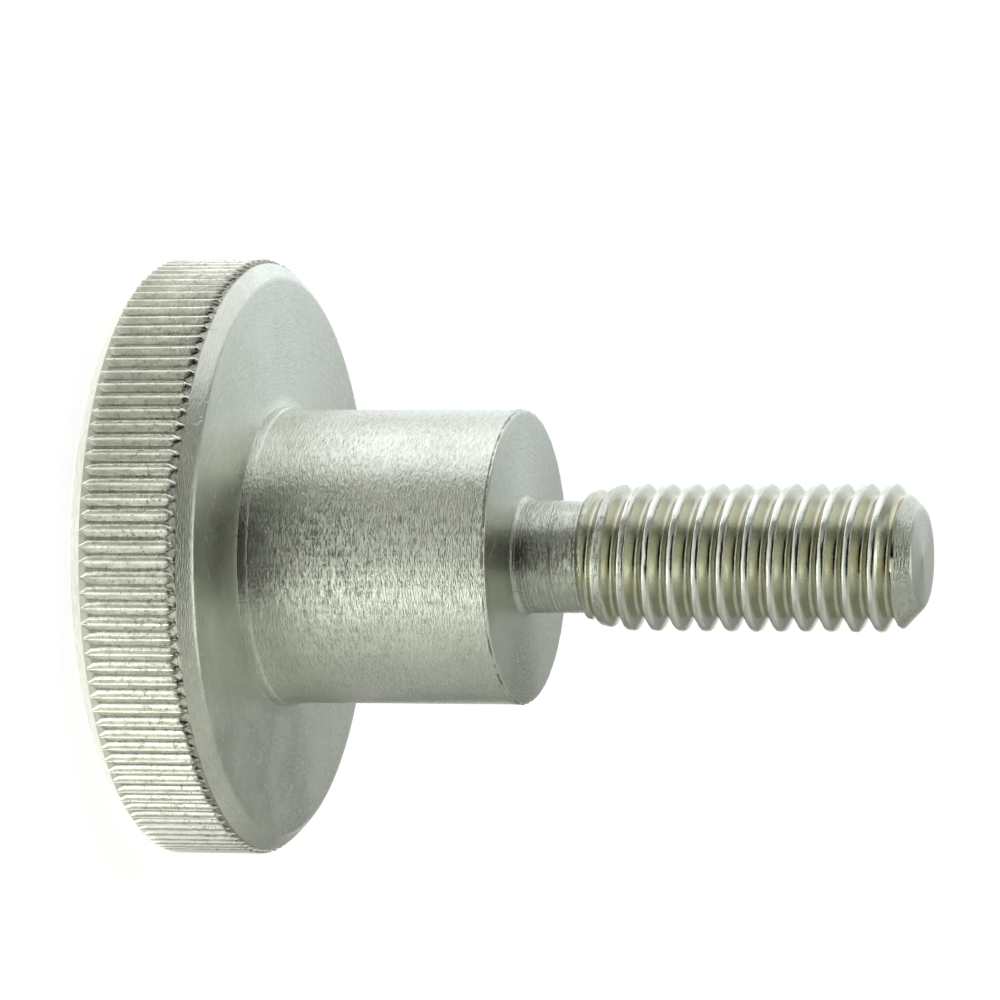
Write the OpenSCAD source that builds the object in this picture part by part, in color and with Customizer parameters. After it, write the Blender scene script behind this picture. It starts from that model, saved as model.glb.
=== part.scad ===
// Knurled thumb screw, high type: a straight-knurled disc head, a plain
// collar, a relief neck and a threaded shank, turned from one bar.
// It stands on the outer face of its head at z = 0, with the thread up.

/* [Head] */
// Diameter over the knurl teeth
head_d = 23.6; // [20:0.1:30]
// Thickness of the head
head_h = 5; // [4:0.1:8]
// Bevel on both rims of the head, across and along the axis
rim_bevel = 0.55; // [0.4:0.05:0.9]

/* [Knurl] */
// Spacing of the knurl teeth round the rim
knurl_pitch = 0.6; // [0.6:0.1:1.2]
// Height of a tooth above the floor of its groove
knurl_depth = 0.18; // [0.12:0.01:0.24]
// Length over which a tooth narrows to a point at each end
knurl_runout = 0.36; // [0.2:0.02:0.6]

/* [Collar] */
// Diameter of the collar
collar_d = 11.6; // [9:0.1:15]
// Height of the collar's end above the outer face of the head
collar_top = 15; // [10:0.5:22]
// How far the ring at the collar's foot stands proud of the collar
foot_step = 0.15; // [0.05:0.05:0.5]
// Height of that ring above the head
foot_h = 0.35; // [0.2:0.05:1]
// Edge break round the end of the collar
collar_break = 0.1; // [0.05:0.05:0.5]

/* [Shank] */
// Nominal thread diameter
thread_d = 6; // [5:0.5:8]
// Thread pitch
thread_pitch = 1; // [0.8:0.05:1.25]
// Which way the thread winds
thread_hand = "left"; // [left, right]
// How far the bar was turned under the nominal diameter before threading
thread_allowance = 0.2; // [0:0.01:0.3]
// Length of the shank from the collar to the tip
shank_l = 16; // [10:0.5:40]
// Length of the relief neck under the thread
neck_l = 2.3; // [2.1:0.1:4]
// Radius of the fillet at the foot of the neck
neck_fillet = 0.15; // [0.05:0.05:0.4]
// Bevel on the tip
tip_bevel = 0.95; // [0.3:0.05:1.2]

/* [Hidden] */
// Fineness of the round parts and of one turn of the thread
$fn = 96;
turn_steps = 32;

head_r = head_d / 2;
collar_r = collar_d / 2;

// Knurl: an even count, so that opposite teeth face each other
teeth = 2 * floor(PI * head_d / (2 * knurl_pitch));
tooth_angle = 360 / teeth;
groove_r = head_r - knurl_depth;
// How deep the feet of a tooth sink into the rim
tooth_root = knurl_depth / 4;

// Thread: ISO 60 degree form with a rounded root. The undersize bar cuts its
// crests short, which widens their flats.
crest_r = (thread_d - thread_allowance) / 2;
root_r = thread_d / 2 - 0.6134 * thread_pitch;
root_round = 0.1443 * thread_pitch;
crest_flat = thread_pitch / 8 + thread_allowance * tan(30);

// The neck is 1.6 pitches under the nominal diameter, and clears the thread
// root. The thread rises from it at 30 degrees.
neck_r = (thread_d - 1.6 * thread_pitch) / 2;
neck_top = collar_top + neck_l;
tip_z = collar_top + shank_l;
run_in = (crest_r - neck_r) / tan(30);

function polar(r, a) = [r * cos(a), r * sin(a)];

// Points of an arc of radius r round c, from one angle to another
function arc(c, r, from, to, steps) =
    [for (i = [0:steps]) c + polar(r, from + (to - from) * i / steps)];

// Section of one tooth at height z: [x, y, z] from one foot over the crest to
// the other, with both feet sunk a little into the rim
function tooth_section(z) = [
    for (p = [
        [groove_r - tooth_root, -0.48],
        [head_r - 0.25 * knurl_depth, -0.2],
        [head_r, 0],
        [head_r - 0.25 * knurl_depth, 0.2],
        [groove_r - tooth_root, 0.48]
    ])
        [each polar(p[0], p[1] * tooth_angle), z]
];

// One knurl tooth, narrowing to a point at the bevel on each side
module tooth() {
    n = 5;
    low = rim_bevel;
    high = head_h - rim_bevel;
    points = concat(
        [[groove_r - tooth_root / 4, 0, low]],
        tooth_section(low + knurl_runout),
        tooth_section(high - knurl_runout),
        [[groove_r - tooth_root / 4, 0, high]]
    );
    faces = [
        for (j = [0:n - 1])
            let (k = (j + 1) % n)
            each [
                [0, 1 + j, 1 + k],
                [1 + j, 1 + n + j, 1 + n + k],
                [1 + j, 1 + n + k, 1 + k],
                [1 + 2 * n, 1 + n + k, 1 + n + j]
            ]
    ];
    polyhedron(points, faces);
}

// Disc with a bevel on both rims, and the knurl teeth standing on its edge
module head() {
    rotate_extrude()
        polygon([
            [0, 0],
            [groove_r - rim_bevel, 0],
            [groove_r, rim_bevel],
            [groove_r, head_h - rim_bevel],
            [groove_r - rim_bevel, head_h],
            [0, head_h]
        ]);
    for (i = [0:teeth - 1])
        rotate(i * tooth_angle)
            tooth();
}

// Collar, from the ring at its foot to its edge break, and the neck above it
module collar_and_neck() {
    ring_r = collar_r + foot_step;
    ring_top = head_h + foot_h;
    neck_foot = [neck_r + neck_fillet, collar_top + neck_fillet];
    rotate_extrude()
        polygon(concat(
            [
                [0, head_h / 2],
                [ring_r, head_h / 2],
                [ring_r, ring_top],
                [collar_r + foot_step / 3, ring_top + 1.5 * foot_step],
                [collar_r, ring_top + 4 * foot_step],
                [collar_r, collar_top - collar_break],
                [collar_r - collar_break, collar_top]
            ],
            arc(neck_foot, neck_fillet, 270, 180, 4),
            [
                [neck_r, neck_top + run_in],
                [0, neck_top + run_in]
            ]
        ));
}

// One pitch of the thread outline, from root to root: [along axis, radius]
thread_outline = concat(
    [for (t = [-60:30:60])
        [root_round * sin(t), root_r + root_round * (1 - cos(t))]],
    [
        [(thread_pitch - crest_flat) / 2, crest_r],
        [(thread_pitch + crest_flat) / 2, crest_r]
    ]
);

// Right-hand thread bar: the outline carried round a helix, skinned, and
// closed by a fan at each end
module thread_bar(z0, turns) {
    n = len(thread_outline);
    last = turns * turn_steps;
    points = concat(
        [for (k = [0:last], p = thread_outline)
            let (a = 360 * k / turn_steps)
            [p[1] * cos(a), p[1] * sin(a), z0 + p[0] + thread_pitch * k / turn_steps]],
        [[0, 0, z0], [0, 0, z0 + thread_pitch * (turns + 1)]]
    );
    foot = n * (last + 1);
    // Vertex j of ring k, where the end of one ring joins the ring a turn above
    function at(k, j) = j < n ? k * n + j : (k + turn_steps) * n;
    skin = [
        for (k = [0:last - 1], j = [0:n - 1])
            if (j < n - 1 || k < last - turn_steps)
                each [
                    [at(k, j), at(k, j + 1), at(k + 1, j + 1)],
                    [at(k, j), at(k + 1, j + 1), at(k + 1, j)]
                ]
    ];
    foot_fan = concat(
        [for (k = [0:turn_steps - 1]) [foot, at(k, 0), at(k + 1, 0)]],
        [for (j = [0:n - 1]) [foot, at(0, j + 1), at(0, j)]]
    );
    head_fan = concat(
        [for (k = [last - turn_steps:last - 1])
            [foot + 1, at(k + 1, n - 1), at(k, n - 1)]],
        [for (j = [0:n - 2]) [foot + 1, at(last, j), at(last, j + 1)]],
        [[foot + 1, at(last - turn_steps, n - 1), at(last, 0)]]
    );
    polyhedron(points, concat(skin, foot_fan, head_fan));
}

// The thread bar cut to length, with a run-in at the neck and a bevelled tip
module thread() {
    lap = 0.1;
    length = tip_z - neck_top;
    mirror([0, thread_hand == "left" ? 1 : 0, 0])
        intersection() {
            rotate_extrude()
                polygon([
                    [0, neck_top - lap],
                    [neck_r - lap * tan(30), neck_top - lap],
                    [crest_r + lap * tan(30), neck_top + run_in + lap],
                    [crest_r + lap, tip_z - tip_bevel - lap],
                    [crest_r - tip_bevel, tip_z],
                    [0, tip_z]
                ]);
            thread_bar(neck_top - 2 * thread_pitch, ceil(length / thread_pitch) + 3);
        }
}

module thumb_screw() {
    color([0.78, 0.78, 0.74])
        union() {
            head();
            collar_and_neck();
            thread();
        }
}

thumb_screw();
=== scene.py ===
"""Looks of the knurled thumb screw: one finely shaped skin that stands for the
CAD solid, its stainless finishes, the stage, the light and the camera."""

import math
from collections import namedtuple

import bpy
import numpy as np
from mathutils import Matrix, Vector, noise


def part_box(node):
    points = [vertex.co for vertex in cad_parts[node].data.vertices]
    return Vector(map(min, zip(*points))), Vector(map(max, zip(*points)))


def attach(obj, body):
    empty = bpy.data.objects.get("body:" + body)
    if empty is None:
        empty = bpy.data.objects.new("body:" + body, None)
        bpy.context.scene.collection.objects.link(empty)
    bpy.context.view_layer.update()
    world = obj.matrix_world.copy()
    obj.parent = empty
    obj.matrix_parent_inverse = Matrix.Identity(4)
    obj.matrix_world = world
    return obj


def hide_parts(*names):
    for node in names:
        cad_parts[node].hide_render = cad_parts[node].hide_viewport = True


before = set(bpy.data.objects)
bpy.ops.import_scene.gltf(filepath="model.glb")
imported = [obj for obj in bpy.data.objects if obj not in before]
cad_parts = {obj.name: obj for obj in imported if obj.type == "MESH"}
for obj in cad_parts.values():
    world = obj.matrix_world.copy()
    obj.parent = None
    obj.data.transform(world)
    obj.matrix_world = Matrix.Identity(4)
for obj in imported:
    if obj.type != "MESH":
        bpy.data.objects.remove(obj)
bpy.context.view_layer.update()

MM = 0.001  # one millimetre in the scene's metres
NODE = "thumb_screw"

# ---------------------------------------------------------------- sizes, mm

HEAD_R, _, TIP_Z = (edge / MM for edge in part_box(NODE)[1])

HEAD_H = 5.0
RIM_BEVEL = 0.55
TEETH = 122
KNURL_DEPTH = 0.18
KNURL_RUNOUT = 0.36
GROOVE_R = HEAD_R - KNURL_DEPTH
RIM_EDGE_R = GROOVE_R - RIM_BEVEL   # where the head's flat faces meet its bevels
KNURL_LOW = RIM_BEVEL
KNURL_HIGH = HEAD_H - RIM_BEVEL

COLLAR_R = 5.8
COLLAR_TOP = 15.0
COLLAR_BREAK = 0.10
FOOT_R = COLLAR_R + 0.15            # the ring at the collar's foot
FOOT_Z = HEAD_H + 0.35              # and its upper end

THREAD_R = 3.0
PITCH = 1.0
CREST_R = 2.9
# The crests are cut below the thread's full height, which leaves them wider
CREST_FLAT = PITCH / 8 + 2 * (THREAD_R - CREST_R) * math.tan(math.radians(30))
ROOT_ROUND = 0.1443 * PITCH
ROOT_R = THREAD_R - 0.6134 * PITCH
NECK_R = THREAD_R - 0.8 * PITCH
NECK_TOP = COLLAR_TOP + 2.3         # the end of the relief in the CAD solid
NECK_FILLET = 0.15
RUN_IN_START = 0.28                 # how far beyond it the neck stays plain
NECK_END = NECK_TOP + RUN_IN_START  # where the helix's rows start
TIP_BEVEL = 0.95
TIP_R = CREST_R - TIP_BEVEL
# Height of a crest's middle at angle 0; the left-hand helix falls from there
CREST_PHASE = NECK_TOP - 1.5 * PITCH

# Columns round the axis: knurl, then the plain head and collar, then the shank
TOOTH_COLUMNS = 12
RIM_COLUMNS = TEETH * TOOTH_COLUMNS
BODY_COLUMNS = RIM_COLUMNS // 4
SHANK_COLUMNS = BODY_COLUMNS // 3

# Rings of points on the flat faces, by their radius
CENTRE_RING = 1.2
OUTER_FACE_RINGS = (3.5, 6.0, 8.5, 10.4)
INNER_FACE_RINGS = (10.3, 9.3, 8.2, 7.2, 6.4)
COLLAR_END_RINGS = (5.0, 4.1, 3.3)
TIP_RINGS = (TIP_R - 0.5, TIP_R - 1.0, 0.6)
WALL_RINGS = 9  # and how many there are up the collar

SKIN_GAP = 0.004  # how far the ridges keep inside the CAD solid's box
TIP_GAP = 0.001   # and the tip's face

TURNED, KNURLED, THREADED = 0, 1, 2  # finishes, in the mesh's order

rng = np.random.default_rng(7)


# ------------------------------------------------------------- mesh helpers

class Skin:
    """Collects rings of vertices, in millimetres, and the faces that join them."""

    def __init__(self):
        self.points = []
        self.faces = []
        self.finishes = []

    def ring(self, points):
        start = len(self.points)
        self.points.extend(points)
        return range(start, len(self.points))

    def face(self, corners, finish):
        """One face, without the corners that a row pinned to a ring repeats."""
        unique = [c for i, c in enumerate(corners) if c != corners[i - 1]]
        if len(set(unique)) >= 3:
            self.faces.append(unique)
            self.finishes.append(finish)

    def band(self, lower, upper, finish):
        """Quads between two rings with as many columns each."""
        columns = len(lower)
        for i in range(columns):
            j = (i + 1) % columns
            self.face([lower[i], lower[j], upper[j], upper[i]], finish)

    def gather(self, lower, upper, finish):
        """Faces between two rings, one of which has several columns to the
        other's one."""
        few = min(len(lower), len(upper))
        for i in range(few):
            low, high = stretch(lower, i, few), stretch(upper, i, few)
            self.face(low + high[::-1], finish)

    def cap(self, ring, centre, finish, upward):
        """Triangles from a ring to one point."""
        middle = len(self.points)
        self.points.append(centre)
        columns = len(ring)
        for i in range(columns):
            corners = [ring[i], ring[(i + 1) % columns], middle]
            self.face(corners if upward else corners[::-1], finish)


def stretch(ring, part, parts):
    """The points of one of a ring's equal parts, both ends included."""
    step = len(ring) // parts
    return [ring[k % len(ring)] for k in range(part * step, (part + 1) * step + 1)]


def around(columns):
    return np.arange(columns) * (2 * math.pi / columns)


def at_angles(r, a, z):
    """Points at radii r, angles a and height z, which may be one number."""
    return [tuple(p) for p in np.stack(
        [r * np.cos(a), r * np.sin(a), np.broadcast_to(z, len(a))], axis=1)]


def circle(r, z, columns):
    """Ring of points; r is a number, or an array with a value a column."""
    return at_angles(np.broadcast_to(r, columns), around(columns), z)


def waver(r, z, columns, size, seed):
    """Smooth noise round a ring, about -1 to 1, with lumps of the given size."""
    return np.array([
        noise.noise(Vector((r * math.cos(a), r * math.sin(a), z)) / size
                    + Vector((seed, 0, 0)))
        for a in around(columns)
    ])


WAVER_SEED, WAVER_STEP = 3.0, 0.1  # where the first ring's noise is, and the next


def turned_bands(skin, last, outline, columns, wobble=0.0, lump=0.6):
    """Carries the skin on from ring last through an outline of (r, z), each
    ring out of round by about wobble, in lumps of the given size."""
    for step, (r, z) in enumerate(outline):
        seed = WAVER_SEED + step * WAVER_STEP
        rs = r + wobble * waver(r, z, columns, lump, seed)
        ring = skin.ring(circle(rs, z, columns))
        skin.band(last, ring, TURNED)
        last = ring
    return last


# ------------------------------------------------------------ the knurled rim

# One tooth across: place, from -0.5 to 0.5 of the spacing, and height above
# the groove's floor. A narrow ridge stands on a rounded shoulder, as pressing
# the knurl raises it.
TOOTH = np.array([
    (-0.50, 0.000), (-0.450, 0.006), (-0.36, 0.070), (-0.25, 0.118),
    (-0.10, 0.140), (-0.050, 0.174), (0.025, 0.180), (0.085, 0.146),
    (0.18, 0.118), (0.31, 0.080), (0.41, 0.048), (0.455, 0.006),
])
FLOOR_EDGE = 0.47      # places further out than this are the groove's floor
RIDGE_HEIGHT = 0.17    # and points higher than this are the ridge
SHOULDER_EDGE = 0.15   # places further out than this can be torn

# A tooth's ends, as run goes from 0 to 1 over the run-out: how far it narrows
# and by which power, over what last share its nose comes down and by which
# power, and how far its shoulder sinks
FRONT_END = {"narrow": (0.74, 1.4), "nose": (0.5, 0.7)}
OUTER_END = {"narrow": (0.85, 1.25), "nose": (0.12, 1.0)}
SHOULDER_SINK = 0.3

BURR_REACH = 0.9       # how far from the front bevel the teeth are torn
TORN_ACROSS = 0.03     # by how much of the spacing
TORN_UP = 0.018        # and how high
WANDER_ACROSS = 0.014  # slow wander of a whole tooth, in spacings
WANDER_UP = 0.04       # and of its height, as a share
WAVE_LENGTHS = (3.1, 1.5, 0.8)

# Differences from tooth to tooth: height lost (usual and most), sideways shift
# in spacings, how late the outer and the front end start, and the least tearing
HEIGHT_LOSS, MOST_HEIGHT_LOSS = 0.05, 0.15
LEAN = 0.014
OUTER_SPREAD, FRONT_SPREAD = 0.06, 0.07
LEAST_BURR = 0.2

# Rings of points up the rim: shares of the outer run-out, then a number of even
# steps, then distances from where the teeth start to be torn
OUTER_RINGS = (0, 0.15, 0.35, 0.65, 1.0)
MIDDLE_RINGS = 7
FRONT_RINGS = (0.15, 0.27, 0.37, 0.46, 0.54, 0.61, 0.68, 0.74, 0.80, 0.85, BURR_REACH)
RIM_EASE = 0.02       # how far the bevels' edges are rounded into the grooves


def tooth_traits():
    """Small differences from tooth to tooth, as pressing leaves them."""
    return {
        "height": 1 - np.abs(rng.normal(0, HEIGHT_LOSS, TEETH)).clip(0, MOST_HEIGHT_LOSS),
        "lean": rng.normal(0, LEAN, TEETH),
        "low": KNURL_LOW + rng.uniform(0.0, OUTER_SPREAD, TEETH),
        "high": KNURL_HIGH - rng.uniform(0.0, FRONT_SPREAD, TEETH),
        "waves": rng.uniform(0, 2 * math.pi, (TEETH, 2 * len(WAVE_LENGTHS))),
        "burr": rng.uniform(LEAST_BURR, 1.0, TEETH),
    }


def tooth_wave(traits, z, first):
    """Slow wander along each tooth, from three sines, about -1 to 1."""
    waves = [np.sin(2 * math.pi * z / length + traits["waves"][:, first + k])
             for k, length in enumerate(WAVE_LENGTHS)]
    return sum(waves)[:, None] / len(waves)


def knurl_ring(z, traits):
    """The rim's outline at height z: every tooth, narrowed and lowered towards
    both bevels, with torn shoulders near the front one."""
    place = np.tile(TOOTH[:, 0], (TEETH, 1))
    height = np.tile(TOOTH[:, 1], (TEETH, 1))
    on_tooth = np.abs(place) < FLOOR_EDGE

    inside = np.minimum(z - traits["low"], traits["high"] - z)
    run = np.clip(1 - inside / KNURL_RUNOUT, 0, 1)[:, None]
    end = FRONT_END if z > HEAD_H / 2 else OUTER_END
    by, power = end["narrow"]
    place = np.where(on_tooth, place * (1 - by * run ** power), place)
    over, power = end["nose"]
    nose = np.clip((1 - run) / over, 0, 1) ** power
    shoulder = 1 - SHOULDER_SINK * run * (height < RIDGE_HEIGHT)

    torn = traits["burr"][:, None] * np.clip(1 - (KNURL_HIGH - z) / BURR_REACH, 0, 1)
    torn = torn * (on_tooth & (np.abs(place) > SHOULDER_EDGE))
    place = place + TORN_ACROSS * torn * rng.normal(0, 1, place.shape)
    height = height + TORN_UP * torn * rng.normal(0, 1, place.shape)

    height = height * nose * shoulder * (
        traits["height"][:, None] + WANDER_UP * tooth_wave(traits, z, 0))
    place = place + traits["lean"][:, None] * on_tooth
    place = place + WANDER_ACROSS * tooth_wave(traits, z, len(WAVE_LENGTHS))

    r = GROOVE_R + np.clip(height, 0, KNURL_DEPTH - SKIN_GAP).ravel()
    a = ((np.arange(TEETH)[:, None] + place) * (2 * math.pi / TEETH)).ravel()
    return at_angles(r, a, z)


def knurl_heights():
    """Heights of the rim's rings, closest where the teeth end or are torn."""
    burr_z = KNURL_HIGH - BURR_REACH
    outer = KNURL_LOW + KNURL_RUNOUT * np.array(OUTER_RINGS)
    middle = np.linspace(outer[-1], burr_z, MIDDLE_RINGS + 1)[1:]
    front = burr_z + np.array(FRONT_RINGS)
    return np.concatenate([outer, middle, front])


def rim_skin(skin, last):
    """The knurl, from the outer bevel's last ring to the front bevel's first."""
    low = skin.ring(circle(GROOVE_R - RIM_EASE, KNURL_LOW - RIM_EASE, RIM_COLUMNS))
    skin.gather(last, low, TURNED)
    traits = tooth_traits()
    heights = knurl_heights()
    last = skin.ring(knurl_ring(heights[0], traits))
    skin.band(low, last, TURNED)
    for z in heights[1:]:
        ring = skin.ring(knurl_ring(z, traits))
        skin.band(last, ring, KNURLED)
        last = ring
    high = skin.ring(circle(GROOVE_R - RIM_EASE, KNURL_HIGH + RIM_EASE, RIM_COLUMNS))
    skin.band(last, high, TURNED)
    return high


# -------------------------------------------------------- the turned surfaces

def outer_face(skin):
    """The face that the screw stands on, and its bevel."""
    centre = skin.ring(circle(CENTRE_RING, 0.0, BODY_COLUMNS))
    skin.cap(centre, (0.0, 0.0, 0.0), TURNED, upward=False)
    flat = [(r, 0.0) for r in OUTER_FACE_RINGS + (RIM_EDGE_R - 0.05,)]
    rounded = [(RIM_EDGE_R + 0.01, 0.02), (RIM_EDGE_R + 0.06, 0.065)]
    bevel = [(GROOVE_R - down, RIM_BEVEL - down) for down in (0.3, 0.1)]
    return turned_bands(skin, centre, flat + rounded + bevel, BODY_COLUMNS)


def inner_face(skin, last):
    """The front bevel, and the face round the collar."""
    ring = skin.ring(circle(GROOVE_R - 0.08, KNURL_HIGH + 0.08, BODY_COLUMNS))
    skin.gather(last, ring, TURNED)
    bevel = [(GROOVE_R - 0.3, KNURL_HIGH + 0.3)]
    rounded = [(RIM_EDGE_R + 0.10, HEAD_H - 0.105), (RIM_EDGE_R + 0.05, HEAD_H - 0.062),
               (RIM_EDGE_R - 0.01, HEAD_H - 0.026), (RIM_EDGE_R - 0.08, HEAD_H - 0.006)]
    flat = [(r, HEAD_H) for r in
            (RIM_EDGE_R - 0.15,) + INNER_FACE_RINGS + (FOOT_R + 0.05,)]
    corner = [(FOOT_R + 0.008, HEAD_H + 0.02)]
    return turned_bands(skin, ring, bevel + rounded + flat + corner, BODY_COLUMNS)


def collar(skin, last):
    """The ring at the collar's foot, the collar, its worn edge and its end."""
    foot = [(FOOT_R, HEAD_H + 0.08), (FOOT_R + 0.005, FOOT_Z - 0.06),
            (FOOT_R - 0.02, FOOT_Z)]
    fillet = [(COLLAR_R + out, FOOT_Z + up) for out, up in
              ((0.075, 0.05), (0.05, 0.22), (0.02, 0.45), (0.0, 0.75))]
    last = turned_bands(skin, last, foot + fillet, BODY_COLUMNS,
                        wobble=0.006, lump=1.2)
    wall = [(COLLAR_R, z) for z in
            np.linspace(FOOT_Z + 1.1, COLLAR_TOP - 0.45, WALL_RINGS)]
    last = turned_bands(skin, last, wall, BODY_COLUMNS, wobble=0.006, lump=1.4)
    # Out to a small lip, into the nick beyond it, and over the edge break
    edge = [(COLLAR_R + out, COLLAR_TOP - down) for out, down in
            ((-0.002, 0.20), (0.004, 0.145), (-0.050, 0.115), (-0.036, 0.075),
             (-0.050, 0.030), (-COLLAR_BREAK, 0.006))]
    last = turned_bands(skin, last, edge, BODY_COLUMNS, wobble=0.035, lump=0.3)
    end = [(r, COLLAR_TOP) for r in
           (COLLAR_R - 2 * COLLAR_BREAK,) + COLLAR_END_RINGS]
    return turned_bands(skin, last, end, BODY_COLUMNS)


NECK_MARK_GAPS = 0.035, 0.07
NECK_MARK_DEPTH = 0.008
NECK_MARK_MARGIN = 0.08  # the last mark starts no closer to the neck's end


def neck(skin, last):
    """The fillet at the neck's foot and the neck, with the marks the tool left
    round it."""
    foot_r = NECK_R + NECK_FILLET
    ring = skin.ring(circle(foot_r + 0.1, COLLAR_TOP, SHANK_COLUMNS))
    skin.gather(last, ring, TURNED)
    fillet = [(foot_r, COLLAR_TOP)] + [
        (NECK_R + out, COLLAR_TOP + up) for out, up in
        ((0.10, 0.02), (0.035, 0.12), (0.025, 0.15), (0.004, 0.165))]
    last = turned_bands(skin, ring, fillet, SHANK_COLUMNS)

    z = COLLAR_TOP + NECK_FILLET
    marks = []
    while z < NECK_END - NECK_MARK_MARGIN:
        z += rng.uniform(*NECK_MARK_GAPS)
        marks.append((NECK_R + rng.normal(0, NECK_MARK_DEPTH), z))
    marks.append((NECK_R, NECK_END))
    return turned_bands(skin, last, marks, SHANK_COLUMNS, wobble=0.008, lump=0.8)


def tip(skin, last):
    """The rounded edge of the tip's bevel, and the tip's face."""
    edge = [(TIP_R + out, TIP_Z - down) for out, down in
            ((0.055, 0.065), (-0.01, 0.03), (-0.10, 0.010), (-0.22, 0.002))]
    flat = [(r, TIP_Z - TIP_GAP) for r in TIP_RINGS]
    last = turned_bands(skin, last, edge + flat, SHANK_COLUMNS)
    skin.cap(last, (0.0, 0.0, TIP_Z - TIP_GAP), TURNED, upward=True)


# ------------------------------------------------------------- the threads

# The thread's outside radius as it starts: height above NECK_TOP, radius
RUN_IN = np.array([(RUN_IN_START, NECK_R), (0.34, 2.40), (0.46, 2.56), (0.75, 2.64),
                   (1.15, 2.73), (1.60, 2.82), (2.0, 2.86), (2.5, CREST_R)])
TIP_RING_DOWN = 0.12     # how far under the tip's face the thread's skin ends
PINNED = 0.02            # rows closer to an end ring than this are pinned to it
ROUGH = (0.004, 0.016)   # roughness of the roots, and what the crests add
ROUGH_LUMP = 0.35
CREST_SWAY = 0.020       # how far a crest strays along the axis
CREST_SWAY_LUMP = 0.5


def thread_rows():
    """Places across one pitch, from the middle of a crest, and the radius
    there: a crest worn round, 60 degree flanks, a rounded root."""
    half = CREST_FLAT / 2
    crest = [(share * half, CREST_R - worn) for share, worn in
             ((0.0, 0.0), (0.42, 0.003), (0.74, 0.012), (1.0, 0.028), (1.25, 0.058))]
    root = [(PITCH / 2 - ROOT_ROUND * math.sin(t),
             ROOT_R + ROOT_ROUND * (1 - math.cos(t)))
            for t in np.radians([58, 40, 20, 0])]
    (top_at, top_r), (low_at, low_r) = crest[-1], root[0]
    flank = [(top_at + share * (low_at - top_at), top_r + share * (low_r - top_r))
             for share in (0.33, 0.67)]
    half_pitch = crest + flank + root
    mirrored = [(PITCH - at, r) for at, r in half_pitch[-2:0:-1]]
    return half_pitch + mirrored


def thread_limit(z):
    """Largest radius at height z: the run-in above the neck and the bevel at
    the tip."""
    run_in = float(np.interp(z - NECK_TOP, RUN_IN[:, 0], RUN_IN[:, 1]))
    bevel = CREST_R - (z - (TIP_Z - TIP_BEVEL))
    return min(run_in, bevel)


def thread_point(r, a, z):
    """A point of the thread, roughened, and most of all at the crests."""
    at = Vector((r * math.cos(a), r * math.sin(a), z))
    crest = max(0.0, (r - ROOT_R) / (CREST_R - ROOT_R)) ** 3
    root_rough, crest_rough = ROUGH
    r += (root_rough + crest_rough * crest) * noise.noise(at / ROUGH_LUMP) - root_rough
    sway = noise.noise(at / CREST_SWAY_LUMP + Vector((9, 0, 0)))
    return r * math.cos(a), r * math.sin(a), z + CREST_SWAY * crest * sway


def shank_skin(skin, foot):
    """Skin of the thread from the ring foot at the neck to a ring at the tip.
    Its rows follow the helix, and are pinned to the two rings at its ends.
    Where the run-in or the tip's bevel cuts the thread off, it is turned."""
    columns = SHANK_COLUMNS
    rows = thread_rows()
    # Spare turns at both ends, for the rows that run in or out part of a turn on
    turns = range(-2, int((TIP_Z - NECK_TOP) / PITCH) + 4)
    places = [(CREST_PHASE + PITCH * t + at, r) for t in turns for at, r in rows]
    end_z = TIP_Z - TIP_RING_DOWN
    end = skin.ring(circle(thread_limit(end_z), end_z, columns))
    index = np.empty((len(places), columns), dtype=int)
    cut = np.zeros((len(places), columns), dtype=bool)
    for k, (start, form_r) in enumerate(places):
        for c in range(columns):
            turn = c / columns
            z = start - PITCH * turn
            if z < NECK_END + PINNED:
                index[k, c] = foot[c]
            elif z > end_z - PINNED:
                index[k, c] = end[c]
            else:
                limit = thread_limit(z)
                cut[k, c] = form_r > limit
                index[k, c] = len(skin.points)
                skin.points.append(
                    thread_point(min(form_r, limit), 2 * math.pi * turn, z))
    # After a whole turn a row meets the row that started one pitch lower
    per_turn = len(rows)
    for k in range(per_turn, len(places) - 1):
        for c in range(columns):
            if c < columns - 1:
                corners = [index[k, c], index[k, c + 1],
                           index[k + 1, c + 1], index[k + 1, c]]
            else:
                corners = [index[k, c], index[k - per_turn, 0],
                           index[k + 1 - per_turn, 0], index[k + 1, c]]
            finish = TURNED if cut[k, c] and cut[k - 1, c] else THREADED
            skin.face([int(i) for i in corners], finish)
    return end


# ---------------------------------------------------------- the whole screw

SHARP_EDGE = math.radians(38)


def screw_skin():
    """The skin of the whole screw, from the outer face to the tip."""
    skin = Skin()
    last = outer_face(skin)
    last = rim_skin(skin, last)
    last = inner_face(skin, last)
    last = collar(skin, last)
    last = neck(skin, last)
    last = shank_skin(skin, last)
    tip(skin, last)
    return skin


def mesh_object(name, skin, materials):
    mesh = bpy.data.meshes.new(name)
    points = (np.array(skin.points) * MM).tolist()
    mesh.from_pydata(points, [], skin.faces)
    for material in materials:
        mesh.materials.append(material)
    mesh.polygons.foreach_set("material_index", skin.finishes)
    mesh.polygons.foreach_set("use_smooth", [True] * len(skin.faces))
    mesh.set_sharp_from_angle(angle=SHARP_EDGE)
    mesh.validate()
    mesh.update()
    piece = bpy.data.objects.new(name, mesh)
    bpy.context.scene.collection.objects.link(piece)
    return piece


# ----------------------------------------------------------- material helpers

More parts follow.
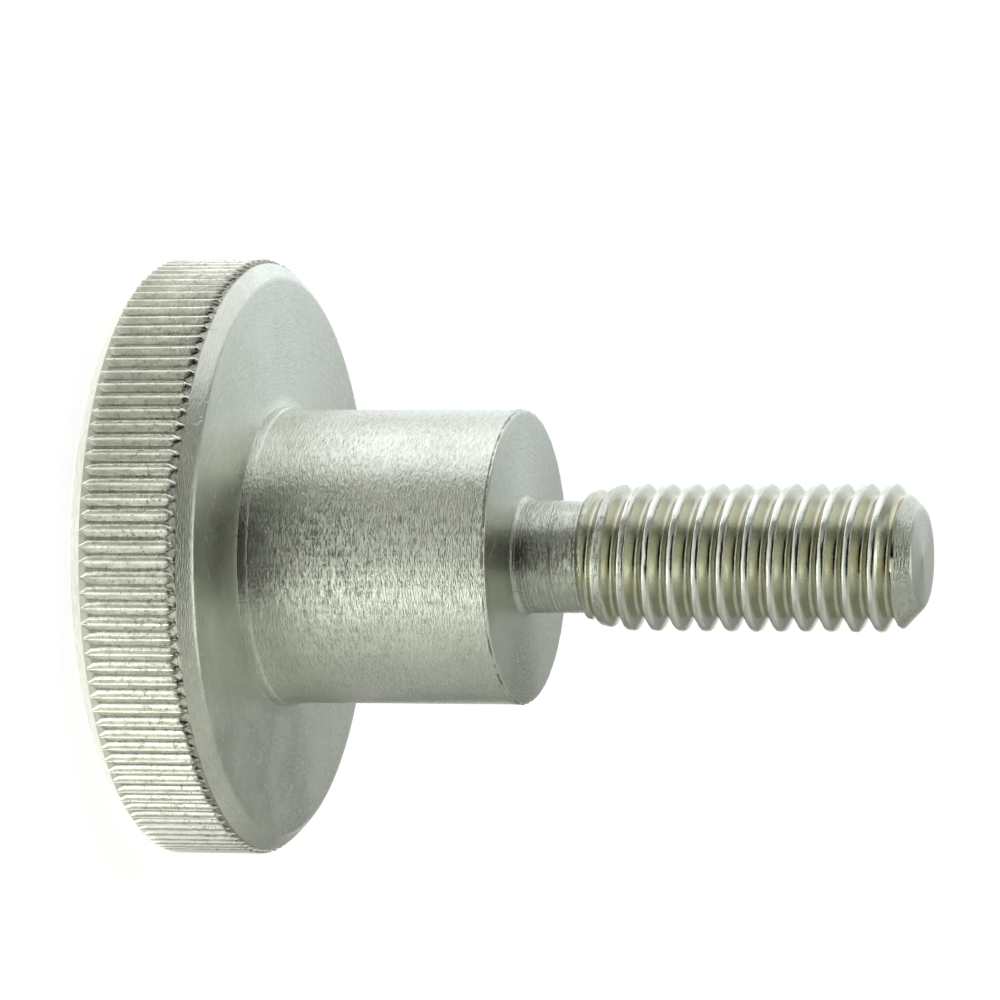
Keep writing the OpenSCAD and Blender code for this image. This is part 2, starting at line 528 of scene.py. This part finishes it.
class Nodes:
    """Short calls for building a material's node tree."""

    def __init__(self, tree):
        self.tree = tree

    def add(self, kind, **inputs):
        node = self.tree.nodes.new(kind)
        for name, value in inputs.items():
            self.feed(node.inputs[name], value)
        return node

    def feed(self, socket, value):
        """Links a socket to the value, or sets it; None leaves it as it is."""
        if isinstance(value, bpy.types.NodeSocket):
            self.tree.links.new(value, socket)
        elif value is not None:
            socket.default_value = value

    def feed_all(self, node, *values):
        for socket, value in zip(node.inputs, values):
            self.feed(socket, value)
        return node.outputs[0]

    def math(self, operation, a, b=None, c=None):
        node = self.add("ShaderNodeMath")
        node.operation = operation
        return self.feed_all(node, a, b, c)

    def ramp(self, value, low, high, to_low=0.0, to_high=1.0):
        """Follows value from low to high, and is level beyond them."""
        node = self.add("ShaderNodeMapRange")
        node.clamp = True
        return self.feed_all(node, value, low, high, to_low, to_high)

    def mix(self, share, a, b):
        """Colour a, turning into b as share goes from 0 to 1."""
        node = self.add("ShaderNodeMix")
        node.data_type = "RGBA"
        self.feed(node.inputs["Factor"], share)
        self.feed(node.inputs[6], colour(a))
        self.feed(node.inputs[7], colour(b))
        return node.outputs[2]

    def noise(self, vector, scale, detail=2.0, rough=0.5):
        node = self.add("ShaderNodeTexNoise", Vector=vector, Scale=scale,
                        Detail=detail, Roughness=rough)
        return node.outputs["Fac"]

    def vector(self, x, y, z):
        return self.feed_all(self.add("ShaderNodeCombineXYZ"), x, y, z)

    def vector_math(self, operation, a, b=None):
        node = self.add("ShaderNodeVectorMath")
        node.operation = operation
        self.feed_all(node, a, b)
        return node.outputs

    def vector_scale(self, level, vector):
        node = self.add("ShaderNodeVectorMath")
        node.operation = "SCALE"
        self.feed(node.inputs["Vector"], vector)
        self.feed(node.inputs["Scale"], level)
        return node.outputs[0]

    def vector_add(self, a, b):
        return self.vector_math("ADD", a, b)[0]

    def bump(self, height, distance, strength=1.0, normal=None):
        node = self.add("ShaderNodeBump", Height=height, Distance=distance,
                        Strength=strength, Normal=normal)
        return node.outputs[0]


def colour(value):
    """A colour for a socket: three numbers get their alpha, a socket stays."""
    return (*value, 1) if isinstance(value, tuple) else value


def grey(level):
    return (level, level, level)


# ---------------------------------------------------------------- materials

# Noise in the metal: lumps to the millimetre, detail, roughness
CLOUD = 0.35, 3.0, 0.55         # slow changes of tone
FLAKE = 6.5, 3.0, 0.6           # rough metal of the knurl
PITTING = 5.0, 3.0, 0.65
SPECKS = 12.0, 3.0, 0.65
BROWN_PATCHES = 0.9, 3.0, 0.6
NICK_BREAKS = 1.0, 3.0, 0.7
SCRATCH_SWAY = 1.4, 2.0
SCRATCH_PATCHES = 1.6, 2.0
SCRATCH_CELLS = 1.3

# Marks that run round the axis: how many to the millimetre across and along
# them, how far slow noise bends them in millimetres, and where they start in
# the noise
Marks = namedtuple("Marks", "across along bend seed")

SHORT_DASHES = Marks(22.0, 2.6, 0.25, 3.0)
LONG_DASHES = Marks(15.0, 5.0, 0.5, 8.0)
TURNED_GRAIN = Marks(26.0, 2.5, 0.2, 5.0)
THREAD_GRAIN = Marks(16.0, 2.0, 0.2, 5.0)
SLOW_NOISE = 0.9
RADIUS_SHARE = -0.7  # so that marks differ across faces and bevels too

TURNED_DARK = (0.54, 0.56, 0.475)
TURNED_LIGHT = (0.73, 0.75, 0.655)
# Painted shade in the nick near the collar's end
NICK_SHADE = (0.28, 0.28, 0.24)
NICK_Z = COLLAR_TOP - 0.105
NICK_WIDTH = 0.05, 0.02         # from its middle: where it ends, is full
BEYOND_COLLAR = 0.86            # how bright the neck and the tip are against it
TIP_MARKS_Z = TIP_Z - 1.3, TIP_Z - 1.1
TIP_MARKS = 4.0                 # what is added to the marks' depth from there on
TURNED_ROUGHNESS = 0.24, 0.33
TURNED_BUMP = 0.012             # height of the marks
FACE_LEAN = math.tan(math.radians(8))  # of the marks on the faces, outwards

# Radii between which a tooth, its shoulder in painted shade and its ridge with a painted
# highlight come to show, and heights between which the grooves' ends, in lighter painted
# shade, do
TOOTH_FOOT = GROOVE_R, GROOVE_R + 0.045
SHOULDER = GROOVE_R + 0.095, GROOVE_R + 0.115
RIDGE = GROOVE_R + 0.140, GROOVE_R + 0.156
FLAKE_RAGGED = 0.03             # how far the flakes shift those radii
FRONT_END_Z = KNURL_HIGH - 0.36, KNURL_HIGH - 0.20
OUTER_END_Z = KNURL_LOW + 0.34, KNURL_LOW + 0.20
DRAG_ROUND, DRAG_ALONG = 60.0, 1.6  # drag marks: noise round the axis, and along it
PITS_OUTER = 0.25               # share of the pits at the outer end
PIT_COVER, PIT_DEPTH = 0.45, -1.2
KNURL_ROUGHNESS = 0.2, 0.38
KNURL_BUMP = 0.02

# Knurl: from one colour to the other as the wheel's drag marks run
# Painted light and shade: the teeth's flanks that face one way round the axis lit, the
# others shaded
TOOTH_LIT_SIDE = (0.82, 0.82, 0.73), (0.98, 0.98, 0.91)
TOOTH_SHADED_SIDE = (0.30, 0.305, 0.245), (0.48, 0.49, 0.40)
# Painted shade on the teeth's shoulders
SHOULDER_SHADE = (0.34, 0.35, 0.275), (0.52, 0.53, 0.44)
# Painted highlight along the teeth's ridges
RIDGE_HIGHLIGHT = (0.66, 0.66, 0.58), (0.90, 0.90, 0.83)
PIT = (0.30, 0.30, 0.24)
# Painted shade in the grooves, lighter where they end at the bevels
GROOVE_SHADE = (0.20, 0.20, 0.155)
GROOVE_OUTER_END_SHADE = (0.40, 0.40, 0.33)
GROOVE_FRONT_END_SHADE = (0.33, 0.33, 0.27)

# Painted shade: the flanks darker towards the roots
THREAD_ROOT_SHADE = (0.56, 0.565, 0.45)
THREAD_HIGH = (0.63, 0.645, 0.55)
THREAD_BROWN_PATCH = (0.56, 0.51, 0.35)
THREAD_SPECKLE = (0.32, 0.32, 0.25)
THREAD_CREST = (0.71, 0.725, 0.64)
FLANK = ROOT_R, CREST_R - 0.1
CREST = CREST_R - 0.08, CREST_R - 0.03
BROWN_PATCH_COVER, SPECK_COVER = 0.55, 0.25
THREAD_ROUGHNESS = 0.10, 0.20
THREAD_BUMP = 0.012


def steel(name, spread):
    """Starts a metal material. Returns it with its nodes, its shader, the place
    in millimetres, and the same place as (angle, radius, height)."""
    material = bpy.data.materials.new(name)
    material.use_nodes = True
    n = Nodes(material.node_tree)
    shader = material.node_tree.nodes["Principled BSDF"]
    shader.inputs["Metallic"].default_value = 1.0
    # The tool's marks run round the axis, so light spreads across them
    shader.inputs["Anisotropic"].default_value = spread
    shader.inputs["Anisotropic Rotation"].default_value = 0.25
    tangent = n.add("ShaderNodeTangent")
    tangent.direction_type = "RADIAL"
    tangent.axis = "Z"
    n.feed(shader.inputs["Tangent"], tangent.outputs[0])
    place = n.vector_scale(1 / MM, n.add("ShaderNodeTexCoord").outputs["Object"])
    x, y, z = n.add("ShaderNodeSeparateXYZ", Vector=place).outputs
    radius = n.math("SQRT", n.math("ADD", n.math("MULTIPLY", x, x),
                                   n.math("MULTIPLY", y, y)))
    angle = n.math("ARCTAN2", y, x)
    return material, n, shader, place, (angle, radius, z)


def bent(n, place, polar, marks):
    """Coordinates for marks, bent by slow noise so that they don't all lie
    alike."""
    angle, radius, z = polar
    slow = n.noise(n.vector_add(place, (marks.seed, 0, 0)), SLOW_NOISE, 1.0)
    drift = n.math("MULTIPLY", n.math("SUBTRACT", slow, 0.5), marks.bend)
    level = n.math("MULTIPLY_ADD", radius, RADIUS_SHARE, z)
    level = n.math("ADD", level, drift)
    reach = n.math("MULTIPLY", radius, marks.along)
    return n.vector(
        n.math("MULTIPLY_ADD", n.math("COSINE", angle), reach, marks.seed),
        n.math("MULTIPLY", n.math("SINE", angle), reach),
        n.math("MULTIPLY", level, marks.across))


def grain(n, place, polar, marks):
    """Soft marks of a tool, as noise drawn out round the axis."""
    return n.noise(bent(n, place, polar, marks), 1.0, 1.5, 0.5)


def dashes(n, place, polar, marks):
    """Short separate marks, each of its own height, 0 to 1."""
    cells = n.add("ShaderNodeTexVoronoi", Scale=1.0,
                  Vector=bent(n, place, polar, marks))
    own = n.add("ShaderNodeSeparateColor", Color=cells.outputs["Color"])
    inside = n.ramp(cells.outputs["Distance"], 0.75, 0.15)
    return n.math("MULTIPLY", own.outputs[0], inside)


def scratches(n, place):
    """A few thin lines that lie anyhow, 0 to 1."""
    sway = n.noise(place, *SCRATCH_SWAY)
    swayed = n.vector_add(place, n.vector(sway, n.math("MULTIPLY", sway, -1.5),
                                          n.math("MULTIPLY", sway, 1.2)))
    cells = n.add("ShaderNodeTexVoronoi", Vector=swayed, Scale=SCRATCH_CELLS)
    cells.feature = "DISTANCE_TO_EDGE"
    line = n.ramp(cells.outputs["Distance"], 0.016, 0.0)
    where = n.ramp(n.noise(place, *SCRATCH_PATCHES), 0.55, 0.62)
    return n.math("MULTIPLY", line, where)


def nick_shade(n, place, z):
    """Where painted shade lies, as a broken dark line in the nick near the collar's end, 0
    to 1.
    """
    away = n.math("ABSOLUTE", n.math("SUBTRACT", z, NICK_Z))
    broken = n.ramp(n.noise(place, *NICK_BREAKS), 0.46, 0.56)
    return n.math("MULTIPLY", n.ramp(away, *NICK_WIDTH), broken)


def turned_steel():
    """Short bright dashes on the walls, smoother faces, a few scratches."""
    material, n, shader, place, polar = steel("turned_steel", 0.45)
    _, radius, z = polar
    geometry = n.add("ShaderNodeNewGeometry")
    normal = n.add("ShaderNodeSeparateXYZ", Vector=geometry.outputs["True Normal"])
    wall = n.ramp(n.math("ABSOLUTE", normal.outputs["Z"]), 0.85, 0.35)
    marks = n.math("ADD", dashes(n, place, polar, SHORT_DASHES),
                   dashes(n, place, polar, LONG_DASHES))
    fine = grain(n, place, polar, TURNED_GRAIN)
    cloud = n.noise(place, *CLOUD)

    tone = n.math("ADD", n.math("MULTIPLY", fine, 0.5),
                  n.math("MULTIPLY", cloud, 0.5))
    tone = n.math("MULTIPLY_ADD", marks, n.math("MULTIPLY", wall, -0.10), tone)
    base = n.mix(n.ramp(tone, 0.30, 0.62), TURNED_DARK, TURNED_LIGHT)
    # Painted shade in the nick
    base = n.mix(nick_shade(n, place, z), base, NICK_SHADE)
    beyond = n.ramp(z, COLLAR_TOP - 0.03, COLLAR_TOP, 1.0, BEYOND_COLLAR)
    n.feed(shader.inputs["Base Color"], n.vector_scale(beyond, base))
    n.feed(shader.inputs["Roughness"], n.ramp(cloud, 0.35, 0.65, *TURNED_ROUGHNESS))

    on_tip = n.ramp(z, *TIP_MARKS_Z)
    strength = n.math("MULTIPLY_ADD", on_tip, n.math("MULTIPLY", wall, TIP_MARKS),
                      n.ramp(wall, 0.0, 1.0, 0.15, 1.0))
    height = n.math("MULTIPLY_ADD", marks, strength,
                    n.math("MULTIPLY", fine, 0.8))
    height = n.math("ADD", height, n.math("MULTIPLY", scratches(n, place), -0.6))
    streaks = n.bump(height, TURNED_BUMP * MM)
    lean = n.bump(n.math("MULTIPLY", radius, -FACE_LEAN), MM, 1.0, streaks)
    n.feed(shader.inputs["Normal"], lean)
    return material


def knurled_steel():
    """Ridges with a painted highlight, shoulders and grooves in painted shade, and the
    flanks that face one way painted darker, all dragged lengthwise.
    """
    material, n, shader, place, polar = steel("knurled_steel", 0.0)
    angle, radius, z = polar
    drawn_out = n.vector(n.math("MULTIPLY", n.math("COSINE", angle), DRAG_ROUND),
                         n.math("MULTIPLY", n.math("SINE", angle), DRAG_ROUND),
                         n.math("MULTIPLY", z, DRAG_ALONG))
    drag = n.ramp(n.noise(drawn_out, 1.0, 3.0, 0.6), 0.3, 0.7)
    flake = n.noise(place, *FLAKE)
    level = n.math("MULTIPLY_ADD", n.math("SUBTRACT", flake, 0.5), FLAKE_RAGGED, radius)

    # Painted shade: the flanks that face one way round the axis are painted darker, as
    # light from one side leaves them
    geometry = n.add("ShaderNodeNewGeometry")
    across = n.vector_math("CROSS_PRODUCT", place, geometry.outputs["Normal"])[0]
    facing = n.add("ShaderNodeSeparateXYZ", Vector=across)
    shaded_side = n.ramp(n.math("DIVIDE", facing.outputs["Z"], radius), 0.05, 0.35)

    body = n.mix(shaded_side, n.mix(drag, *TOOTH_LIT_SIDE), n.mix(drag, *TOOTH_SHADED_SIDE))
    # Painted shade on the shoulders
    body = n.mix(n.ramp(level, *SHOULDER), body, n.mix(drag, *SHOULDER_SHADE))
    # Painted highlight along the ridges
    body = n.mix(n.ramp(level, *RIDGE), body, n.mix(drag, *RIDGE_HIGHLIGHT))
    # Pits where the metal tore, more of them towards the front bevel
    pits = n.math("MULTIPLY",
                  n.ramp(n.noise(place, *PITTING), 0.60, 0.66),
                  n.ramp(z, KNURL_LOW, KNURL_HIGH, PITS_OUTER, 1.0))
    body = n.mix(n.math("MULTIPLY", pits, PIT_COVER), body, PIT)
    # Painted shade in the grooves' floors, lighter towards both ends
    groove = n.mix(n.ramp(z, *OUTER_END_Z), GROOVE_SHADE, GROOVE_OUTER_END_SHADE)
    groove = n.mix(n.ramp(z, *FRONT_END_Z), groove, GROOVE_FRONT_END_SHADE)
    n.feed(shader.inputs["Base Color"], n.mix(n.ramp(level, *TOOTH_FOOT), groove, body))
    n.feed(shader.inputs["Roughness"], n.ramp(flake, 0.35, 0.65, *KNURL_ROUGHNESS))

    height = n.math("ADD", n.math("MULTIPLY", drag, 0.5), flake)
    height = n.math("MULTIPLY_ADD", pits, PIT_DEPTH, height)
    n.feed(shader.inputs["Normal"], n.bump(height, KNURL_BUMP * MM, 0.8))
    return material


def threaded_steel():
    """Smooth flanks in painted shade towards the roots, with brown patches low down and
    dark specks, pale crests.
    """
    material, n, shader, place, polar = steel("threaded_steel", 0.3)
    radius = polar[1]
    fine = n.noise(place, *SPECKS)
    lines = grain(n, place, polar, THREAD_GRAIN)
    out = n.ramp(radius, *FLANK)

    # Painted shade, darker towards the roots
    flank = n.mix(out, THREAD_ROOT_SHADE, THREAD_HIGH)
    # Brown patches, more of them towards the roots
    brown_patch = n.ramp(n.noise(place, *BROWN_PATCHES), 0.48, 0.62, 0.0, BROWN_PATCH_COVER)
    brown_patch = n.math("MULTIPLY", brown_patch, n.ramp(out, 0.8, 0.2))
    flank = n.mix(brown_patch, flank, THREAD_BROWN_PATCH)
    flank = n.mix(n.ramp(fine, 0.40, 0.60, SPECK_COVER, 0.0), flank, THREAD_SPECKLE)
    crest = n.ramp(radius, *CREST)
    n.feed(shader.inputs["Base Color"], n.mix(crest, flank, THREAD_CREST))
    n.feed(shader.inputs["Roughness"], n.ramp(fine, 0.35, 0.65, *THREAD_ROUGHNESS))

    height = n.math("ADD", n.math("MULTIPLY", lines, 0.6),
                    n.math("MULTIPLY", fine, 0.5))
    n.feed(shader.inputs["Normal"], n.bump(height, THREAD_BUMP * MM))
    return material


# ------------------------------------------------------------------ camera

# The photograph's view: above the floor by CAMERA_RISE, with the thread to the
# right, so the camera is turned on its side
CAMERA_AZIMUTH = math.radians(73.1)
CAMERA_RISE = math.radians(16.84)
CAMERA_DISTANCE = 290.0
CAMERA_PIXELS = 7275.5   # focal length in pixels of the 1000-pixel frame
CAMERA_ALONG = 13.314    # where the view's middle lies, along the axis
CAMERA_ACROSS = -2.232   # and across it, downwards in the picture
FRAME_PIXELS = 1000
SENSOR = 36.0
NEAREST, FURTHEST = 0.01, 10.0  # what the camera sees, in metres

UP = Vector((0, 0, 1))
TOWARD = Vector((math.cos(CAMERA_AZIMUTH), math.sin(CAMERA_AZIMUTH), 0))
PICTURE_DOWN = UP.cross(TOWARD)


def make_camera():
    data = bpy.data.cameras.new("camera")
    data.sensor_width = SENSOR
    data.lens = SENSOR * CAMERA_PIXELS / FRAME_PIXELS
    data.clip_start, data.clip_end = NEAREST, FURTHEST
    camera = bpy.data.objects.new("camera", data)
    back = TOWARD * math.cos(CAMERA_RISE) + UP * math.sin(CAMERA_RISE)
    picture_right = UP * math.cos(CAMERA_RISE) - TOWARD * math.sin(CAMERA_RISE)
    turn = Matrix((picture_right, -PICTURE_DOWN, back)).transposed()
    place = (back * CAMERA_DISTANCE + picture_right * CAMERA_ALONG
             + PICTURE_DOWN * CAMERA_ACROSS) * MM
    camera.matrix_world = Matrix.Translation(place) @ turn.to_4x4()
    bpy.context.scene.collection.objects.link(camera)
    bpy.context.scene.camera = camera


# ------------------------------------------------------------------- studio

# A light of the studio: its direction from the screw, as (towards the camera,
# picture's up, picture's right), the cosines of the angles from it at which the
# light starts and is full, and its brightness
Light = namedtuple("Light", "direction start full level")

ROOM = 0.31
ROOM_LIGHTS = (
    Light((0.72, -0.25, -0.65), 0.48, 0.90, 0.74),      # reflector low in front
    Light((0.66, -0.34, -0.67), 0.915, 0.965, 1.70),    # card on it
    Light((-0.10, -0.75, 0.66), 0.45, 0.90, 0.22),      # reflector at the side
    Light((0, -1, 0), 0.60, 0.95, 0.12),                # and below
    Light((-0.23, -0.09, 0.97), 0.968, 0.992, 1.30),    # card beyond the tip
    Light((0, 0, 1), 0.85, 1.0, 0.45),                  # wall beyond the tip
    Light((-0.953, -0.06, -0.296), 0.90, 0.955, 0.60),  # backdrop
)
TOP_LIGHT = Light((-0.30, 0.954, 0), 0.57, 0.73, 0.78)
TOP_CORE = Light((-0.05, 0.95, -0.30), 0.88, 0.97, 0.50)
BACK_WALL = Light((-1, 0, 0), 0.45, 0.85, 0.66)
WALL_FOOT = -0.10, 0.18     # sines of the heights at which the wall fades in
WALL_HEAD = 0.30, 0.65      # and fades towards its upper level
WALL_UPPER_LEVEL = 0.2
ROUND_CAMERA = Light((0.91, 0.03, 0.41), 0.74, 0.89, -0.97)  # takes light away
DARK_OVER = -0.15, 0.02     # how far right it starts, and is full
ROOM_TINT = (0.985, 1.02, 0.955)
TOP_TINT = (0.99, 1.0, 1.10)
WALL_TINT = (1.0, 1.10, 1.20)

# The floor near the head, as the metal shows it
NEAR_FLOOR = 0.90
NEAR_FLOOR_LIGHTS = (
    Light((0.35, 0.94, 0), 0.60, 0.80, 1.10),   # on the picture's upper side
    Light((1, 0, 0), 0.45, -0.05, 0.20),        # more, the further behind
)
NEAR_FLOOR_SHARE = 0.65
NEAR_FLOOR_EDGES = 27, 21
FOOT_CARD = 1.40            # a pale ring close round the head
FOOT_CARD_EDGES = 1.12 * HEAD_R, 1.06 * HEAD_R

FLOOR_HALF = 3.0            # metres
FLOOR_COLOUR = grey(0.45)
FLOOR_GLOW = 0.8            # turns the floor nearly white, its shadow faint
EYE_HEIGHT = 0.45 * TIP_Z


def along(n, direction, front, up, right):
    """How far a direction points towards a place in the studio, -1 to 1."""
    axis = TOWARD * front - PICTURE_DOWN * up + UP * right
    return n.vector_math("DOT_PRODUCT", direction, axis.normalized())["Value"]


def share_of(n, direction, light):
    """How much of a light a direction meets, 0 to 1."""
    return n.ramp(along(n, direction, *light.direction), light.start, light.full)


def lit_by(n, direction, lights, level):
    """The level, and what the lights add to it in a direction."""
    for light in lights:
        level = n.math("MULTIPLY_ADD", share_of(n, direction, light), light.level, level)
    return level


def seen_from_screw(n, direction):
    """How bright the studio is in a direction from the screw. The screw is lit
    as in the photograph, where it lies on its side, so above is the picture's
    up: a big soft light above and a little behind, a pale wall behind that is
    brightest a little above the screw, a backdrop, pale reflectors low in
    front, at the side and below, a card on the front one, a wall and a card
    beyond the tip, and a dark place round the camera."""
    height = along(n, direction, 0, 1, 0)
    wall = n.math("MULTIPLY", share_of(n, direction, BACK_WALL), n.ramp(height, *WALL_FOOT))
    wall = n.math("MULTIPLY", wall, n.ramp(height, *WALL_HEAD, 1.0, WALL_UPPER_LEVEL))
    dark = n.math("MULTIPLY", share_of(n, direction, ROUND_CAMERA),
                  n.ramp(along(n, direction, 0, 0, 1), *DARK_OVER))

    room = n.math("MULTIPLY", lit_by(n, direction, ROOM_LIGHTS, ROOM),
                  n.math("MULTIPLY_ADD", dark, ROUND_CAMERA.level, 1.0))
    above = n.math("MULTIPLY", share_of(n, direction, TOP_LIGHT), TOP_LIGHT.level)
    above = lit_by(n, direction, [TOP_CORE], above)
    behind = n.math("MULTIPLY", wall, BACK_WALL.level)
    return n.vector_add(
        n.vector_add(n.vector_scale(room, ROOM_TINT),
                     n.vector_scale(above, TOP_TINT)),
        n.vector_scale(behind, WALL_TINT))


def floor_in_metal(n):
    """What the metal shows of the floor: the studio's light and shade, as if
    seen from the middle of the screw, with a brighter floor near the head."""
    place = n.add("ShaderNodeTexCoord").outputs["Object"]
    below = n.vector_add(place, (0, 0, -EYE_HEIGHT * MM))
    direction = n.vector_math("NORMALIZE", below)[0]
    distance = n.vector_math("LENGTH", place)["Value"]
    near = n.ramp(distance, *(edge * MM for edge in NEAR_FLOOR_EDGES),
                  0.0, NEAR_FLOOR_SHARE)
    foot = n.ramp(distance, *(edge * MM for edge in FOOT_CARD_EDGES))
    level = lit_by(n, direction, NEAR_FLOOR_LIGHTS, NEAR_FLOOR)
    tone = n.mix(near, seen_from_screw(n, direction),
                 n.vector_scale(level, grey(1)))
    return n.mix(foot, tone, grey(FOOT_CARD))


def mixed_shader(n, share, a, b):
    node = n.add("ShaderNodeMixShader", Fac=share)
    n.feed(node.inputs[1], a)
    n.feed(node.inputs[2], b)
    return node.outputs[0]


def floor_material():
    """Plain pale paint, white to the camera but for the shadow, and the studio
    in the metal."""
    material = bpy.data.materials.new("floor")
    material.use_nodes = True
    n = Nodes(material.node_tree)
    paint = material.node_tree.nodes["Principled BSDF"]
    paint.inputs["Base Color"].default_value = colour(FLOOR_COLOUR)
    paint.inputs["Roughness"].default_value = 1.0
    paint.inputs["Specular IOR Level"].default_value = 0.0
    seen = n.add("ShaderNodeEmission", Strength=1.0, Color=floor_in_metal(n))
    glow = n.add("ShaderNodeEmission", Strength=FLOOR_GLOW, Color=colour(grey(1)))
    lit = n.feed_all(n.add("ShaderNodeAddShader"), paint.outputs[0], glow.outputs[0])
    rays = n.add("ShaderNodeLightPath").outputs
    direct = mixed_shader(n, rays["Is Camera Ray"], paint.outputs[0], lit)
    surface = mixed_shader(n, rays["Is Glossy Ray"], direct, seen.outputs[0])
    output = material.node_tree.nodes["Material Output"]
    n.feed(output.inputs["Surface"], surface)
    return material


def make_floor():
    mesh = bpy.data.meshes.new("floor")
    corners = [(-FLOOR_HALF, -FLOOR_HALF, 0), (FLOOR_HALF, -FLOOR_HALF, 0),
               (FLOOR_HALF, FLOOR_HALF, 0), (-FLOOR_HALF, FLOOR_HALF, 0)]
    mesh.from_pydata(corners, [], [(0, 1, 2, 3)])
    mesh.materials.append(floor_material())
    floor = bpy.data.objects.new("floor", mesh)
    bpy.context.scene.collection.objects.link(floor)


def make_world():
    """The studio all round, and plain white where the camera looks past the
    floor."""
    world = bpy.data.worlds.new("world")
    bpy.context.scene.world = world
    world.use_nodes = True
    n = Nodes(world.node_tree)
    direction = n.add("ShaderNodeTexCoord").outputs["Generated"]
    rays = n.add("ShaderNodeLightPath").outputs
    background = world.node_tree.nodes["Background"]
    n.feed(background.inputs["Color"],
           n.mix(rays["Is Camera Ray"], seen_from_screw(n, direction), grey(1)))


# -------------------------------------------------------------------- scene

bpy.context.scene.view_settings.view_transform = "Standard"

make_camera()
make_floor()
make_world()

piece = mesh_object(
    "thumb_screw_skin", screw_skin(),
    [turned_steel(), knurled_steel(), threaded_steel()])
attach(piece, "root")
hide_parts(NODE)
